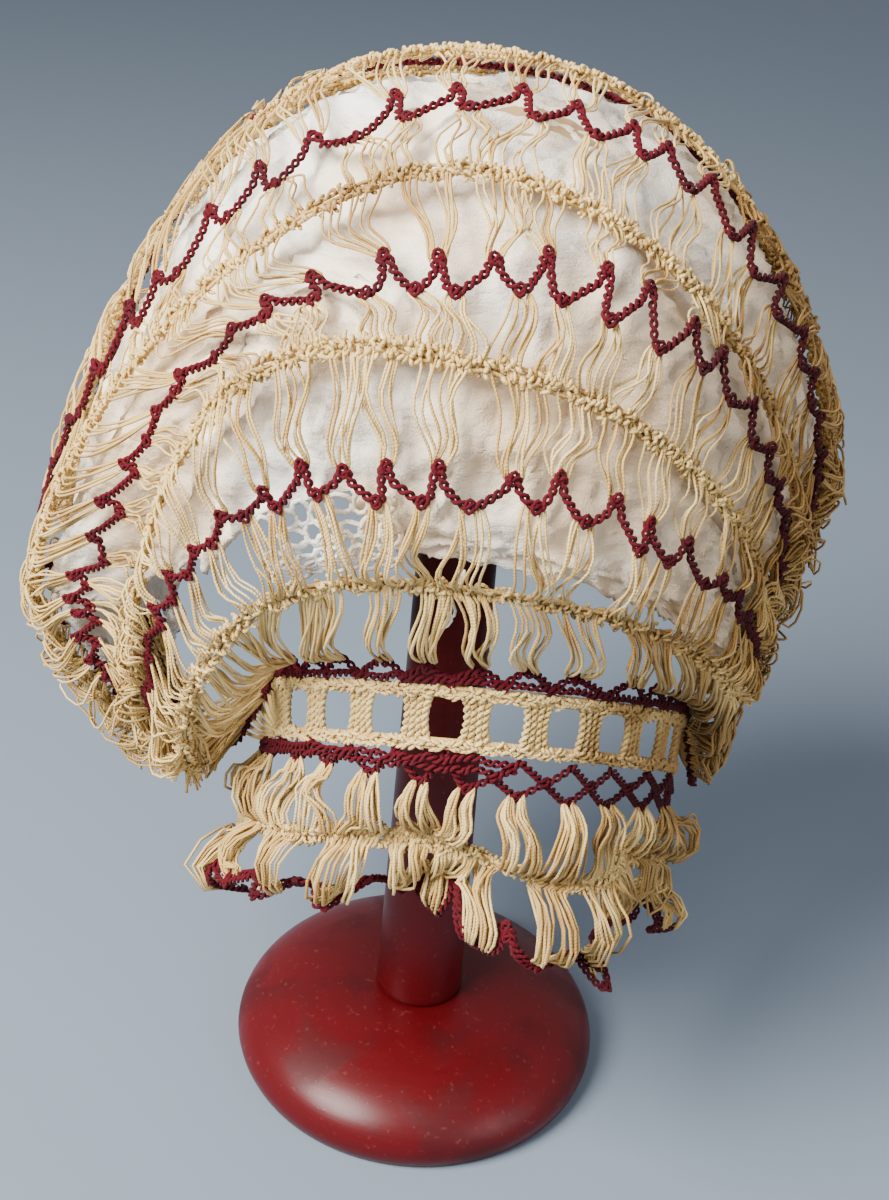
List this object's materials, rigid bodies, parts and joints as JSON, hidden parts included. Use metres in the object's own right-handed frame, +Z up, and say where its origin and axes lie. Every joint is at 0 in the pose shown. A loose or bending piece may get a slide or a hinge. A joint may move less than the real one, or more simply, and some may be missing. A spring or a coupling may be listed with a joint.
{
  "type": "nightcap on a hat stand",
  "caption": "Hairpin-lace nightcap of joined strips with a beading band and ruffled frill, kept on a turned wooden hat stand with a cloth cover.",
  "frame": {"origin": "centre of the stand base's flat underside, on the surface it stands on", "axes": "+Z up along the post, -Y towards the nape band and frill, +X to the wearer's and viewer's right seen from the nape"},
  "size_m": [0.2767, 0.2165, 0.3935],
  "materials": {
    "red_painted_wood": "worn satin red paint",
    "plain_wood": "plain turned wood",
    "white_cloth": "soft crumpled cotton",
    "ecru_cotton": "mercerised ecru cotton thread",
    "crimson_cotton": "dark crimson cotton chain stitch"
  },
  "bodies": {
    "root": {"stand_base": "red_painted_wood", "stand_post": "red_painted_wood", "stand_top": "plain_wood", "cloth_cover": "white_cloth", "strip_0": "ecru_cotton", "strip_1": "ecru_cotton", "strip_2": "ecru_cotton", "strip_3": "ecru_cotton", "strip_4": "ecru_cotton", "strip_5": "ecru_cotton", "join_chain_1": "crimson_cotton", "join_chain_2": "crimson_cotton", "join_chain_3": "crimson_cotton", "join_chain_4": "crimson_cotton", "join_chain_5": "crimson_cotton", "face_edge_chain": "crimson_cotton", "band_upper_chain": "crimson_cotton", "beading_band": "ecru_cotton", "band_lower_chain": "crimson_cotton", "frill_strip": "ecru_cotton", "frill_edge_chain": "crimson_cotton"}
  },
  "joints": []
}
